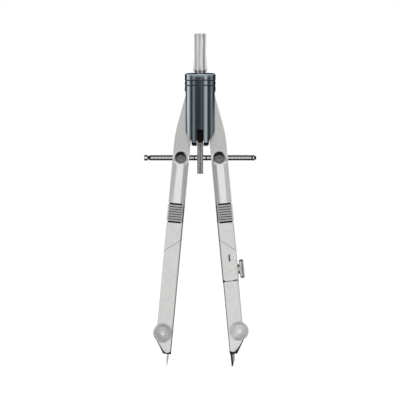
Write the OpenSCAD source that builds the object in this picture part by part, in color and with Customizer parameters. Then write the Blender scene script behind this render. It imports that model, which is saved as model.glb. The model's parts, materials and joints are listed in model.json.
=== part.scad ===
// Quick-set bow compass with a geared head, a cross spindle and a removable lead insert.
// Heights are measured from the two points, and the parts above the spindle go with it. The
// frame's origin is on the handle axis, half way up the round band that the fingers hold.

/* [Stance] */
// Lean of each leg from upright, in degrees
leg_lean = 5.3; // [4.8:0.1:6]
// Height of the spindle above the points
spindle_h = 104.3; // [102:0.1:108]
// Distance of each trunnion from the middle plane
trunnion_x = 9.6; // [9:0.05:10]
// Height of the two leg pivots above the spindle
pivot_up = 32.8; // [32.3:0.1:33.8]
// Half the distance between the pivots, also the pitch radius of the toothed sectors
pivot_x = 3.25; // [3.15:0.05:3.4]

/* [Legs] */
// Width of a leg
leg_w = 8.2; // [7.8:0.1:8.4]
// Thickness of a leg below its trunnion, front to back
leg_t = 5.4; // [5:0.1:6]
// Thickness of the flat arm above the trunnion
arm_t = 4.4; // [4.2:0.1:4.6]
// Width of the flat strip between the two long facets of the upper leg
facet_w = 3.5; // [2.5:0.1:5]
// Depth of each long facet at the edge of the leg
facet_drop = 0.7; // [0.3:0.05:0.9]
// Edge bevel of the plain lower leg
leg_bevel = 0.5; // [0.3:0.05:0.8]
// Step down of the face below the slanting line
face_step = 0.15; // [0.1:0.05:0.3]
// Distance from spindle to the slanting line, on the leg axis
step_down = 43.8; // [42:0.1:46]
// Slant of that line from square across the leg, in degrees
step_slant = 38; // [0:1:45]
// Height of the feet above the points, on the axis of a leg
foot_up = 6.5; // [5.5:0.1:8]
// Distance from the leg's inner edge to the corner where its outer taper ends
foot_w = 4; // [3.8:0.1:4.4]
// Length of the outer taper above the foot
taper_l = 6.9; // [6:0.1:9]
// Radius of the turned cone about the needle, at the foot of the left leg
needle_cone_r = 2.3; // [2:0.05:2.5]
// Radius of the turned cone about the lead, at the foot of the insert
lead_cone_r = 2; // [1.8:0.05:2.3]
// Widening of these cones for each mm up the leg
cone_slope = 0.6; // [0.5:0.02:0.8]
// Offset of these cones from the points, towards the outside
cone_out = 0.5; // [0.3:0.1:0.7]

/* [Rib grips] */
// Distance from spindle to the top of the rib grip
grip_down = 22.8; // [21:0.1:25]
// Number of ribs in a grip
grip_ribs = 7; // [5:1:8]
// Pitch of the ribs
rib_pitch = 1.22; // [1:0.01:1.3]
// Width of the fine grooves between ribs
rib_gap = 0.42; // [0.25:0.01:0.5]
// Width of the wide groove above and below the ribs
end_gap = 0.9; // [0.6:0.05:1.1]
// Depth of the grooves
rib_depth = 0.45; // [0.25:0.05:0.5]
// How far the ribs stand out beyond the leg's outer edge
rib_proud = 0.15; // [0.1:0.05:0.5]

/* [Head] */
// Radius of the round head sleeve
head_r = 7.7; // [7.5:0.05:8]
// Wall of the sleeve
sleeve_wall = 1.2; // [1.1:0.05:1.3]
// Height of the top of the head above the pivots
head_rise = 9.4; // [9:0.1:11]
// Distance from the pivots down to the foot of the head
head_drop = 26.8; // [25.5:0.1:27]
// Radius of the curve that draws the lower sides in
waist_r = 11; // [10:0.5:13]
// Distance from the pivots down to where the lower sides start to curve in
waist_drop = 16.4; // [16:0.1:17]
// Width of the upright sides at the head's foot
foot_sides = 8.6; // [8:0.1:9]
// Thickness of the sleeve's top wall
top_wall = 1.4; // [1.2:0.1:1.6]
// Radius of the rounded upper edge
crown_r = 0.8; // [0.5:0.1:1]
// Bevel round the lower end of the sleeve
sleeve_bevel = 1; // [0.6:0.1:1.2]
// How far the yoke shows below the sleeve
yoke_out = 0.5; // [0.3:0.1:0.8]
// Width of the front slot and the back notch at the foot of the head
slot_w = 3.3; // [3.2:0.1:3.5]
// Length of the front slot
slot_l = 8; // [7:0.1:9]
// Width of the two turned grooves
ring_w = 0.45; // [0.3:0.05:0.6]
// Depth of the two turned grooves
ring_d = 0.3; // [0.2:0.05:0.5]

/* [Pivots and sectors] */
// Radius of a pivot pin
pivot_r = 1.5; // [1.4:0.05:1.6]
// Number of teeth that a full pitch circle would have
teeth = 14; // [14:1:16]
// Pressure angle of the teeth
pressure = 25; // [22:1:26]
// Thickness taken off each tooth for backlash
backlash = 0.05; // [0.03:0.01:0.1]
// Thickness of a pivot washer
washer_t = 0.2; // [0.15:0.05:0.25]

/* [Spindle] */
// Radius of the threaded spindle
spindle_r = 1.375; // [1.3:0.025:1.4]
// Overall length of the spindle
spindle_l = 56; // [54:0.5:58]
// Length of the end button
button_l = 1.7; // [1.2:0.1:2.5]
// Width of the turned neck beside the button
neck_l = 0.9; // [0.6:0.1:1.5]
// Length of the plain pin at the other end
tail_l = 1.8; // [1.2:0.1:2.5]
// Radius of the plain pin
tail_r = 1; // [0.8:0.05:1.1]
// Radius of a trunnion nut
trunnion_r = 3.1; // [3:0.05:3.2]
// How far a trunnion nut stands out of its arm
trunnion_rise = 0.3; // [0.1:0.05:0.4]
// Depth of the dish in a trunnion nut
dish_d = 0.7; // [0.4:0.05:0.8]
// Radius of the dish
dish_r = 2.65; // [2.3:0.05:2.7]

/* [Guide bar] */
// Width of the guide bar, side to side
bar_w = 2.9; // [2.6:0.1:3]
// Depth of the guide bar below the head, front to back
bar_d = 6; // [5.6:0.1:6.4]
// Distance from the spindle down to the foot of the guide bar
bar_drop = 8; // [7.5:0.1:9]
// Height of the slide block
block_h = 4.4; // [4:0.1:4.6]
// Depth of the slide block
block_d = 3.9; // [3.7:0.1:4]

/* [Handle] */
// Height of the handle above the head
handle_l = 19.8; // [18:0.1:24]
// Radius of the handle
handle_r = 3.05; // [2.9:0.05:3.3]
// Radius of the round band and the top flange
band_r = 3.45; // [3.4:0.05:3.8]
// Length of the round band
band_l = 5; // [4.5:0.1:5.5]
// Radius of the neck under the band
neck_r = 2.75; // [2.5:0.05:3]
// Radius of the stud inside the head
stud_r = 2; // [1.8:0.1:2.1]

/* [Points] */
// Distance from the leg axis to the axis of needle and lead, towards the inside
point_in = 2.55; // [2.4:0.05:2.6]
// Radius of the drawing lead
lead_r = 1; // [0.9:0.05:1]
// Length of the drawing lead
lead_l = 30; // [24:0.5:31]
// Length of the chisel cut on the lead
chisel_l = 3.9; // [3:0.1:4.5]
// Turn of the chisel cut about the lead, from the side towards the front, in degrees
chisel_turn = 10; // [0:5:45]
// Radius of the needle's shank
needle_r = 0.5; // [0.45:0.05:0.6]
// Length of the needle
needle_l = 26; // [22:0.5:27]
// Length of the needle's thin point under its shoulder
needle_tip = 2.6; // [2:0.1:4]
// Radius of a clamp knob
knob_r = 4.7; // [4.4:0.1:5]
// Height of a clamp knob
knob_h = 2.7; // [2.3:0.1:3.2]
// Radius of the outer ring turned into its dome
ring_out_r = 3.3; // [3:0.1:3.5]
// Radius of the inner ring
ring_in_r = 2.1; // [1.5:0.1:2.4]
// Radius of a clamp knob's screw
clamp_r = 1.1; // [1:0.05:1.2]
// Distance from the foot to the needle's clamp screw, along the leg
needle_clamp_up = 10.3; // [9.5:0.1:12]
// Distance from the foot to the lead's clamp screw, along the leg
lead_clamp_up = 11.2; // [9.5:0.1:12]
// Offset of the needle clamp screw from the leg axis, towards the outside
needle_clamp_out = 1.1; // [0.9:0.1:1.5]
// Offset of the lead clamp screw from the leg axis, towards the outside
lead_clamp_out = 1.8; // [1.5:0.1:2]

/* [Lead insert] */
// Length of the lead insert below its joint
insert_l = 36.6; // [34:0.1:38]
// Width of the lead insert
insert_w = 7.8; // [7.5:0.1:7.9]
// Gap that shows as a line at the joint
joint_gap = 0.3; // [0.2:0.05:0.4]
// Depth of the cuts at the insert's top corners
corner_cut = 0.65; // [0.5:0.05:0.8]
// Height of the bevel at the leg's inner corner above the joint
joint_in = 0.95; // [0.6:0.05:1.1]
// Height of the bevel at the leg's outer corner above the joint
joint_out = 0.7; // [0.4:0.05:0.9]
// Radius of the insert's shank
shank_r = 1.9; // [1.7:0.05:2]
// Length of the insert's shank
shank_l = 9; // [8.5:0.1:9.5]
// Depth of the socket in the right leg
socket_l = 14.5; // [14:0.1:17]
// Distance from the joint to the thumb screw, along the leg
thumb_up = 5.4; // [5.2:0.1:6]
// Radius of the thumb screw's disc
thumb_r = 4.65; // [4.2:0.05:5]
// Thickness of the thumb screw's disc
thumb_t = 2.2; // [1.5:0.1:2.5]
// Radius of the thumb screw's collar
collar_r = 2.5; // [2.3:0.1:2.6]
// Length of the thumb screw's collar
collar_l = 0.8; // [0.6:0.1:1.4]
// Radius of the thumb screw's thread
thread_r = 1.25; // [1.1:0.05:1.3]

/* [Fits] */
// Radial clearance of a part that turns or slides
run = 0.03; // [0.02:0.01:0.05]
// Clearance between faces that rest on each other
rest_gap = 0.02; // [0.01:0.01:0.03]
// Clearance beside parts that move past each other
pass_gap = 0.25; // [0.2:0.05:0.3]

/* [Hidden] */
$fn = 64;
far = 200;

// Range of the legs about their pivots, opening positive
open_most = 20;
close_most = 6;

// Heights that follow from the sizes above
pivot_h = spindle_h + pivot_up;
head_top = pivot_h + head_rise;
head_bottom = pivot_h - head_drop;
waist_h = pivot_h - waist_drop;
bar_foot = spindle_h - bar_drop;
handle_top = head_top + handle_l;

// Distance from the spindle to the foot of a leg, along the leg
leg_reach = (spindle_h - foot_up) / cos(leg_lean);

// The frame's origin, half way up the round band of the handle
neck_h = 1.2;
origin_h = head_top + neck_h + band_l / 2;

// Sector teeth
module_mm = 2 * pivot_x / teeth;
tip_r = pivot_x + 0.9 * module_mm;
root_r = pivot_x - 1.25 * module_mm;
base_r = pivot_x * cos(pressure);
tooth_step = 360 / teeth;
half_tooth = 90 / teeth - backlash / 2 / pivot_x * 180 / PI;
flank_points = 5;
tooth_sink = 0.2;

// Arm outline
boss_over = 0.2;
boss_r = pivot_x + boss_over;
arm_lean = 15.5;
crank_r = 60;
crank_points = 6;
arm_overlap = 2;
knee_up = 16;
root_turn = 75;

// Where the arm's curved shoulder meets the faceted leg
shoulder_r = leg_w / 2;
shoulder_down = 1;

// Head: a sleeve over a yoke, whose two cheeks hold the arms
cheek_y = arm_t / 2 + washer_t + rest_gap * 2;
yoke_r = head_r - sleeve_wall - rest_gap;
bridge_room = 0.5;
bridge_bottom = pivot_h + tip_r + bridge_room;
bridge_top = head_top - top_wall;
washer_r = 2.5;
foot_bevel = 0.6;
ring_down = 3.7;
ring_pitch = 2.55;
ring_heights = [head_top - ring_down, head_top - ring_down - ring_pitch];
slot_top_h = head_bottom + slot_l;
pin_bevel = 0.2;
pivot_pin_y = sqrt(pow(yoke_r, 2) - pow(pivot_x + pivot_r, 2)) - rest_gap;
bar_pin_r = 0.8;
bar_pin_y = sqrt(pow(yoke_r, 2) - pow(bar_pin_r, 2)) - rest_gap;

// Guide bar: an eye for its pin, a grip between the cheeks and a wider lower part
eye_h = head_bottom + 14.3;
eye_w = 3.8;
eye_l = 6;
grip_d = 2 * cheek_y - 2 * rest_gap;
bar_roof = 0.9;
bar_bevel = 0.8;
tongue_w = 0.7;
tongue_d = 0.3;
bar_slot_d = block_d + 2 * run;
block_inset = 0.15;
block_w = bar_w - 2 * block_inset;

// Travel of the spindle in the guide bar
swing_r = norm([trunnion_x - pivot_x, pivot_h - spindle_h]);
swing_a = atan2(trunnion_x - pivot_x, pivot_h - spindle_h);
rise = swing_r * (cos(swing_a) - cos(swing_a + open_most));
fall = swing_r * (cos(swing_a - close_most) - cos(swing_a));
slot_bottom = spindle_h - fall - block_h / 2 - pass_gap;
slot_top = spindle_h + rise + block_h / 2 + pass_gap;

// Top of the bar's wide part, above the block's window, and of the notch that clears it
bar_top = slot_top + bar_roof;
grip_bottom = bar_top + bar_roof;
notch_gap = 0.3;
notch_top_h = grip_bottom + notch_gap;

// Opening in a leg for the spindle
window_gap = 0.1;
tilt_spare = 0.5;

// Rib grip
grip_l = 2 * end_gap + grip_ribs * rib_pitch - rib_gap;
rib_inset = 0.2;
pad_inset = 0.2;

// Feet
needle_bore = 28;
lead_bore = 33;
slit_w = 0.5;
lead_lip = 1.2;
slit_short = 3;
cone_l = 11;
foot_face = leg_t / 2 - face_step;
nut_r = 2.6;
nut_t = 1.3;
nut_bevel = 0.4;
knob_edge = 0.3;
knob_rim = 0.9;
knob_step = 0.5;
knob_groove = 0.2;
knob_points = 9;
ring_cut = 0.15;
dimple_r = 0.55;
dimple_d = 0.3;

// Joint of the lead insert
joint_down = leg_reach - insert_l;
corner_w = 1.65;
joint_flat = 1;
boss_out_r = 2.3;
shank_flat = 0.15;
sight_w = 0.8;
sight_l = 3.5;
sight_up = 11.3;
sight_out = 0.3;
thumb_edge = 0.5;
collar_gap = 0.1;

// Trunnion nuts
spigot_r = 2;
spigot_end = 0.3;
ring_t = 0.5;
ring_over = 0.35;
dish_run = 0.6;
centre_r = 0.45;
centre_d = 0.25;

// Spindle ends
spindle_end = spindle_l / 2;
turned_r = 0.95;
button_pin_r = 0.75;
button_cap = 0.4;
button_proud = 0.05;
collar_proud = 0.12;
collar_w = 0.7;

// Handle
flange_t = 1.2;
flange_r = band_r - 0.1;
flare_l = 2.2;
edge = 0.3;
handle_pin_r = 0.6;
handle_pin_l = 9;
handle_pin_h = (bridge_bottom + bridge_top) / 2;
band_0 = head_top + neck_h;
band_1 = band_0 + band_l;

// The needle and the lead reach down to height 0, whatever the lean
point_low = -(spindle_h - point_in * sin(leg_lean)) / cos(leg_lean);
needle_end_r = 0.04;
shoulder_tip_r = 0.28;
tip_cone = 1.2;
chisel_edge = 0.6;

module frame() translate([0, 0, -origin_h]) children();

// A profile drawn in x and z, as thick as t front to back
module plate(t) rotate([90, 0, 0]) linear_extrude(t, center = true) children();

// A round bar along y from y0 to y1
module bar_y(r, y0, y1) translate([0, y0, 0]) rotate([-90, 0, 0]) cylinder(r = r, h = y1 - y0);

// A round bar along x from x0 to x1
module bar_x(r, x0, x1) translate([x0, 0, 0]) rotate([0, 90, 0]) cylinder(r = r, h = x1 - x0);

// The left leg's own frame: origin at its trunnion, z up the leg, +x to the inside
module leg_frame() translate([-trunnion_x, 0, spindle_h]) rotate([0, leg_lean, 0]) children();

// The right leg is the left one mirrored
module right_side() mirror([1, 0, 0]) children();

// A point of the left leg's frame in the heights and sides of the whole compass
function on_leg(x, z) = [
    -trunnion_x + x * cos(leg_lean) + z * sin(leg_lean),
    spindle_h - x * sin(leg_lean) + z * cos(leg_lean)];

// Toothed sectors

function involute(a) = tan(a) * 180 / PI - a;

// Half the angle that a tooth covers at radius r
function tooth_half(r) = half_tooth + involute(pressure) - involute(acos(min(1, base_r / r)));

function tooth_side(s) = [for (i = [0:flank_points])
    let (r = base_r + (tip_r - base_r) * i / flank_points)
    r * [cos(s * tooth_half(r)), sin(s * tooth_half(r))]];

module tooth()
    polygon(concat(
        [(root_r - tooth_sink) * [cos(tooth_half(base_r)), -sin(tooth_half(base_r))]],
        tooth_side(-1),
        [for (i = [flank_points:-1:0]) tooth_side(1)[i]],
        [(root_r - tooth_sink) * [cos(tooth_half(base_r)), sin(tooth_half(base_r))]]));

// The teeth of the left arm; phase is half a step on the right one, so that they mesh
module sector(phase)
    for (k = [-2:3 - ceil(phase)])
        rotate((k + phase) * tooth_step) tooth();

// Left arm, from its pivot boss to the crank above the trunnion

outer_foot = on_leg(-leg_w / 2, -arm_overlap);
inner_foot = on_leg(leg_w / 2, -arm_overlap);
inner_knee = on_leg(leg_w / 2, knee_up);

// Where the arm's straight outer edge meets the line of the leg's outer edge
boss_edge = [-pivot_x - boss_r * cos(arm_lean), pivot_h + boss_r * sin(arm_lean)];
crank_z = (outer_foot[0] - boss_edge[0] + boss_edge[1] * tan(arm_lean)
    - outer_foot[1] * tan(leg_lean)) / (tan(arm_lean) - tan(leg_lean));
crank = [boss_edge[0] - (boss_edge[1] - crank_z) * tan(arm_lean), crank_z];
crank_turn = arm_lean - leg_lean;
crank_cut = crank_r * tan(crank_turn / 2);
crank_centre = crank + crank_cut * [sin(arm_lean), cos(arm_lean)]
    + crank_r * [cos(arm_lean), -sin(arm_lean)];
crank_arc = [for (i = [0:crank_points]) let (a = arm_lean - crank_turn * i / crank_points)
    crank_centre + crank_r * [-cos(a), sin(a)]];

module arm_profile(phase) {
    translate([-pivot_x, pivot_h]) circle(r = root_r);
    intersection() {
        translate([-pivot_x, pivot_h]) circle(r = boss_r);
        translate([-pivot_x - 2 * boss_r, pivot_h - boss_r]) square([2 * boss_r, 2 * boss_r]);
    }
    translate([-pivot_x, pivot_h]) sector(phase);
    polygon(concat(
        [[-pivot_x, pivot_h], boss_edge],
        crank_arc,
        [outer_foot, inner_foot, inner_knee,
            [-pivot_x + root_r * cos(root_turn), pivot_h - root_r * sin(root_turn)]]));
}

// Window through a leg for the spindle, which tilts against the leg as the leg swings
module spindle_window() {
    lo = leg_lean - close_most - tilt_spare;
    hi = leg_lean + open_most + tilt_spare;
    h = spindle_r + window_gap;
    x = leg_w;
    mid = h * (1 / cos(lo) - 1 / cos(hi)) / (tan(hi) - tan(lo));
    leg_frame() plate(2 * h) polygon([
        [x, x * tan(lo) - h / cos(lo)],
        [x, x * tan(hi) + h / cos(hi)],
        [mid, mid * tan(lo) + h / cos(lo)],
        [-x, -x * tan(lo) + h / cos(lo)],
        [-x, -x * tan(hi) - h / cos(hi)],
        [-mid, -mid * tan(lo) - h / cos(lo)]]);
}

module trunnion_bore() leg_frame() bar_y(trunnion_r + run, -far, far);

// The faceted upper part of the leg, cut back round the trunnion
module faceted_length(top, length) {
    hw = leg_w / 2;
    ht = leg_t / 2;
    difference() {
        translate([0, 0, -top - length]) linear_extrude(length) polygon([
            [-hw, -ht + facet_drop], [-facet_w / 2, -ht], [facet_w / 2, -ht],
            [hw, -ht + facet_drop], [hw, ht - facet_drop], [facet_w / 2, ht],
            [-facet_w / 2, ht], [-hw, ht - facet_drop]]);
        bar_y(shoulder_r, -far, far);
    }
}

// The plain lower part of the leg, of width w, with bevelled edges
module plain_length(top, length, w, t)
    translate([0, 0, -top - length]) linear_extrude(length) polygon([
        [-w / 2, -t / 2 + leg_bevel], [-w / 2 + leg_bevel, -t / 2],
        [w / 2 - leg_bevel, -t / 2], [w / 2, -t / 2 + leg_bevel],
        [w / 2, t / 2 - leg_bevel], [w / 2 - leg_bevel, t / 2],
        [-w / 2 + leg_bevel, t / 2], [-w / 2, t / 2 - leg_bevel]]);

// Rib grip: a pad proud of the outer edge, grooved across the faces and round the outer edge
module grip_pad()
    translate([-leg_w / 2 - rib_proud, -leg_t / 2, pad_inset - grip_down - grip_l])
        cube([leg_w + rib_proud - leg_bevel, leg_t, grip_l - 2 * pad_inset]);

// One groove, from a point short of the inner edge, round the outer edge and back
module groove_ring(down, gap) {
    outer = -leg_w / 2 - rib_proud - 1;
    inner = leg_w / 2 - leg_bevel - rib_inset;
    for (y = [-leg_t / 2 - 1, leg_t / 2 - rib_depth])
        translate([outer, y, -down - gap]) cube([inner - outer, 1 + rib_depth, gap]);
    translate([outer, -leg_t / 2 - 1, -down - gap])
        cube([1 + rib_proud + rib_depth, leg_t + 2, gap]);
}

module grip_grooves() {
    groove_ring(grip_down, end_gap);
    for (i = [1:grip_ribs - 1])
        groove_ring(grip_down + end_gap + i * rib_pitch - rib_gap, rib_gap);
    groove_ring(grip_down + grip_l - end_gap, end_gap);
}

// The thin slices that lower both faces below the slanting line
module face_steps() {
    drop = leg_w * tan(step_slant);
    for (s = [-1, 1])
        translate([0, s * (leg_t / 2 + 1 - face_step), 0]) plate(2) polygon([
            [leg_w, drop - step_down], [-leg_w, -drop - step_down], [-leg_w, -far],
            [leg_w, -far]]);
}

// The outer taper of the foot of a leg of width w, and the turned cone about its point
module foot_cuts(w, cone_r) {
    side = -w / 2;
    corner = leg_w / 2 - foot_w;
    lean = atan2(corner - side, taper_l);
    plate(far) polygon([
        [side, -leg_reach + taper_l], [side - leg_w, -leg_reach + taper_l],
        [side - leg_w, -leg_reach - leg_w], [corner + leg_w * tan(lean), -leg_reach - leg_w]]);
    translate([point_in - cone_out, 0, -leg_reach]) rotate_extrude() polygon([
        [cone_r - cone_slope, -1], [cone_r + cone_slope * cone_l, cone_l], [3 * leg_w, cone_l],
        [3 * leg_w, -1]]);
}

// Bore and slit that hold a needle or a lead of radius r at the foot of a leg of width w
module point_clamp(r, w, depth, lip, screw_up, screw_out) {
    translate([point_in, 0, -leg_reach - 1]) cylinder(r = r + run, h = depth + 1);
    translate([-screw_out, -slit_w / 2, -leg_reach - 1])
        cube([screw_out + w, slit_w, depth + 1 - slit_short]);
    translate([point_in, -lip / 2, -leg_reach - 1])
        cube([w, lip, depth + 1 - slit_short]);
    translate([-screw_out, 0, -leg_reach + screw_up]) bar_y(clamp_r + run, -far, far);
}

// The upper half of a leg: its arm with the teeth, the faceted length and the rib grip
module upper_leg(phase) {
    plate(arm_t) arm_profile(phase);
    leg_frame() faceted_length(shoulder_down, grip_down + end_gap - shoulder_down);
    leg_frame() grip_pad();
}

module upper_cuts() {
    translate([-pivot_x, 0, pivot_h]) bar_y(pivot_r + run, -far, far);
    trunnion_bore();
    spindle_window();
    leg_frame() grip_grooves();
    leg_frame() face_steps();
}

module lower_length(down) leg_frame() plain_length(grip_down + end_gap / 2,
    down - grip_down - end_gap / 2, leg_w, leg_t);

module left_leg() color([0.80, 0.80, 0.79]) frame() difference() {
    union() {
        upper_leg(0);
        lower_length(leg_reach);
    }
    upper_cuts();
    leg_frame() foot_cuts(leg_w, needle_cone_r);
    leg_frame() point_clamp(needle_r, leg_w, needle_bore, slit_w, needle_clamp_up,
        needle_clamp_out);
}

// All that is below the joint, whose line turns by these heights towards both corners
module below_joint(inner, outer, gap) translate([0, 0, -joint_down]) plate(far) polygon([
    [leg_w / 2 + corner_w, 2 * inner + gap], [leg_w / 2 - corner_w, -gap], [-joint_flat, -gap],
    [joint_flat - leg_w, 2 * outer + gap], [joint_flat - leg_w, -far],
    [leg_w / 2 + corner_w, -far]]);

// Socket, thumb screw hole and sight slot at the lower end of the right leg
module insert_socket() {
    translate([0, 0, -joint_down - 1]) cylinder(r = shank_r + run, h = socket_l + 1);
    translate([0, 0, -joint_down + thumb_up]) bar_x(thread_r + run, -leg_w, 0);
    translate([-sight_out, -leg_t / 2, -joint_down + sight_up])
        cube([sight_w, leg_t, sight_l], center = true);
}

module right_leg() color([0.80, 0.80, 0.79]) frame() right_side() difference() {
    union() {
        upper_leg(0.5);
        lower_length(joint_down);
    }
    upper_cuts();
    leg_frame() insert_socket();
    leg_frame() below_joint(joint_in, joint_out, 0);
}

module lead_insert() color([0.79, 0.79, 0.78]) frame() right_side() leg_frame() {
    difference() {
        intersection() {
            plain_length(joint_down, insert_l, insert_w, 2 * foot_face);
            below_joint(-corner_cut, -corner_cut, joint_gap);
        }
        foot_cuts(insert_w, lead_cone_r);
        point_clamp(lead_r, insert_w, lead_bore, lead_lip, lead_clamp_up, lead_clamp_out);
    }
    translate([0, 0, -joint_down - 1]) cylinder(r = boss_out_r, h = 1 - rest_gap);
    difference() {
        translate([0, 0, -joint_down - 1]) cylinder(r = shank_r, h = shank_l + 1);
        translate([-far - shank_r + shank_flat, -far / 2, -joint_down]) cube([far, far, far]);
    }
}

module insert_screw() color([0.62, 0.62, 0.62]) frame() right_side() leg_frame()
    translate([0, 0, -joint_down + thumb_up]) {
        face = leg_w / 2 + collar_l;
        bar_x(thread_r, -face - thumb_t / 2, -shank_r + shank_flat - rest_gap);
        bar_x(collar_r, -face, -leg_w / 2 - collar_gap);
        rotate([0, -90, 0]) rotate_extrude() polygon([
            [0, face], [thumb_r - thumb_edge, face], [thumb_r, face + thumb_edge],
            [thumb_r, face + thumb_t - thumb_edge], [thumb_r - thumb_edge, face + thumb_t],
            [0, face + thumb_t]]);
    }

// Trunnion nuts: dished in front, held at the back by a ring on a short spigot

module trunnion() translate([-trunnion_x, 0, spindle_h]) difference() {
    front = -arm_t / 2 - trunnion_rise;
    union() {
        bar_y(trunnion_r, front, arm_t / 2);
        bar_y(spigot_r, 0, arm_t / 2 + ring_t + spigot_end);
    }
    translate([0, front, 0]) rotate([90, 0, 0]) rotate_extrude() polygon([
        [0, -dish_d], [dish_r - dish_run, -dish_d], [dish_r, 0], [dish_r, 1], [0, 1]]);
    bar_y(centre_r, front - 1, front + dish_d + centre_d);
    bar_x(spindle_r + run, -far, far);
}

module trunnion_ring() translate([-trunnion_x, 0, spindle_h]) difference() {
    back = arm_t / 2 + rest_gap;
    bar_y(trunnion_r + ring_over, back, back + ring_t);
    bar_y(spigot_r, 0, far);
}

module left_trunnion() color([0.25, 0.25, 0.26]) frame() trunnion();
module left_trunnion_ring() color([0.55, 0.55, 0.55]) frame() trunnion_ring();
module right_trunnion() color([0.25, 0.25, 0.26]) frame() right_side() trunnion();
module right_trunnion_ring() color([0.55, 0.55, 0.55]) frame() right_side() trunnion_ring();

// Spindle, with a button and a collar pressed on its ends

module spindle() color([0.72, 0.72, 0.72]) frame() translate([0, 0, spindle_h]) {
    bar_x(spindle_r, button_l + neck_l - spindle_end, spindle_end - tail_l);
    bar_x(turned_r, button_l - spindle_end, button_l + neck_l - spindle_end);
    bar_x(button_pin_r, button_cap - spindle_end, button_l - spindle_end);
    bar_x(tail_r, spindle_end - tail_l, spindle_end);
}

module spindle_button() color([0.66, 0.66, 0.66]) frame() translate([0, 0, spindle_h])
    difference() {
        bar_x(spindle_r + button_proud, -spindle_end, button_l - spindle_end - rest_gap);
        bar_x(button_pin_r, button_cap - spindle_end - rest_gap, 0);
    }

module spindle_collar() color([0.66, 0.66, 0.66]) frame() translate([0, 0, spindle_h])
    difference() {
        left = spindle_end - tail_l + rest_gap;
        bar_x(spindle_r + collar_proud, left, left + collar_w);
        bar_x(tail_r, 0, far);
    }

// Slide block that carries the spindle in the guide bar
module slide_block() color([0.70, 0.62, 0.42]) frame() translate([0, 0, spindle_h])
    difference() {
        union() {
            cube([block_w, block_d, block_h], center = true);
            cube([tongue_w, block_d + 2 * tongue_d, block_h], center = true);
        }
        bar_x(spindle_r + run, -far, far);
    }

module guide_bar() color([0.52, 0.52, 0.52]) frame() difference() {
    union() {
        rotate([90, 0, 90]) linear_extrude(bar_w, center = true) polygon([
            [-grip_d / 2, eye_h], [-grip_d / 2, grip_bottom], [-bar_d / 2, bar_top],
            [-bar_d / 2, bar_foot + bar_bevel], [-bar_d / 2 + bar_bevel, bar_foot],
            [bar_d / 2 - bar_bevel, bar_foot], [bar_d / 2, bar_foot + bar_bevel],
            [bar_d / 2, bar_top], [grip_d / 2, grip_bottom], [grip_d / 2, eye_h]]);
        translate([0, 0, eye_h]) cube([eye_w, grip_d, eye_l], center = true);
    }
    translate([-far / 2, -bar_slot_d / 2, slot_bottom])
        cube([far, bar_slot_d, slot_top - slot_bottom]);
    translate([-tongue_w / 2 - pass_gap, -bar_slot_d / 2 - tongue_d, slot_bottom])
        cube([tongue_w + 2 * pass_gap, bar_slot_d + 2 * tongue_d, slot_top - slot_bottom]);
    translate([0, 0, eye_h]) bar_y(bar_pin_r, -far, far);
}

// Head: the sleeve's outline from the front, wide above and drawn in at its lower sides

module head_outline() difference() {
    union() {
        translate([-head_r, waist_h]) square([2 * head_r, head_top - waist_h]);
        intersection() {
            translate([-head_r, head_bottom]) square([2 * head_r, waist_h - head_bottom]);
            translate([head_r - waist_r, waist_h]) circle(r = waist_r, $fn = 200);
            translate([waist_r - head_r, waist_h]) circle(r = waist_r, $fn = 200);
        }
        translate([-foot_sides / 2, head_bottom]) square([foot_sides, waist_h - head_bottom]);
    }
    for (s = [-1, 1])
        translate([s * foot_sides / 2, head_bottom]) rotate(45)
            square(foot_bevel * sqrt(2), center = true);
}

// The sleeve's side openings, which clear the arms when the legs are fully open
module arm_windows() for (m = [0, 1])
    mirror([m, 0, 0]) translate([-pivot_x, 0, pivot_h]) rotate([0, arm_lean + open_most, 0])
        translate([-boss_r - pass_gap, -cheek_y, 1 - far]) cube([far, 2 * cheek_y, far]);

// The front slot, and the shorter notch at the back
module head_slots() {
    translate([-slot_w / 2, -far, slot_top_h - far]) cube([slot_w, far, far]);
    translate([-slot_w / 2, 0, notch_top_h - far]) cube([slot_w, far, far]);
}

module head_sleeve() color([0.16, 0.26, 0.31]) frame() difference() {
    sleeve_bottom = head_bottom + yoke_out;
    intersection() {
        plate(3 * head_r) head_outline();
        rotate_extrude() polygon(concat(
            [[0, sleeve_bottom], [head_r - sleeve_bevel, sleeve_bottom],
                [head_r, sleeve_bottom + sleeve_bevel]],
            [for (i = [0:4]) let (a = i * 90 / 4)
                [head_r - crown_r * (1 - cos(a)), head_top - crown_r * (1 - sin(a))]],
            [[0, head_top]]));
    }
    translate([0, 0, head_bottom - 1])
        cylinder(r = head_r - sleeve_wall, h = bridge_top - head_bottom + 1 + rest_gap);
    cylinder(r = stud_r + rest_gap, h = far);
    arm_windows();
    head_slots();
    for (h = ring_heights)
        translate([0, 0, h]) rotate_extrude()
            translate([head_r, 0]) square([2 * ring_d, ring_w], center = true);
}

module head_yoke() color([0.14, 0.14, 0.15]) frame() difference() {
    intersection() {
        plate(3 * head_r) head_outline();
        translate([0, 0, head_bottom]) cylinder(r = yoke_r, h = bridge_top - head_bottom);
    }
    translate([-far / 2, -cheek_y, bridge_bottom - far]) cube([far, 2 * cheek_y, far]);
    head_slots();
    translate([0, 0, bridge_bottom - 1]) cylinder(r = stud_r, h = far);
    translate([0, 0, handle_pin_h]) bar_x(handle_pin_r, -far, far);
    for (s = [-1, 1])
        translate([s * pivot_x, 0, pivot_h]) bar_y(pivot_r, -far, far);
    translate([0, 0, eye_h]) bar_y(bar_pin_r, -far, far);
}

// A pin along y with bevelled ends, held in the yoke by the sleeve round it
module cross_pin(r, half) rotate([90, 0, 0]) rotate_extrude() polygon([
    [0, -half], [r - pin_bevel, -half], [r, pin_bevel - half], [r, half - pin_bevel],
    [r - pin_bevel, half], [0, half]]);

module pivot_pins() color([0.60, 0.60, 0.60]) frame() for (s = [-1, 1])
    translate([s * pivot_x, 0, pivot_h]) cross_pin(pivot_r, pivot_pin_y);

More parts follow.
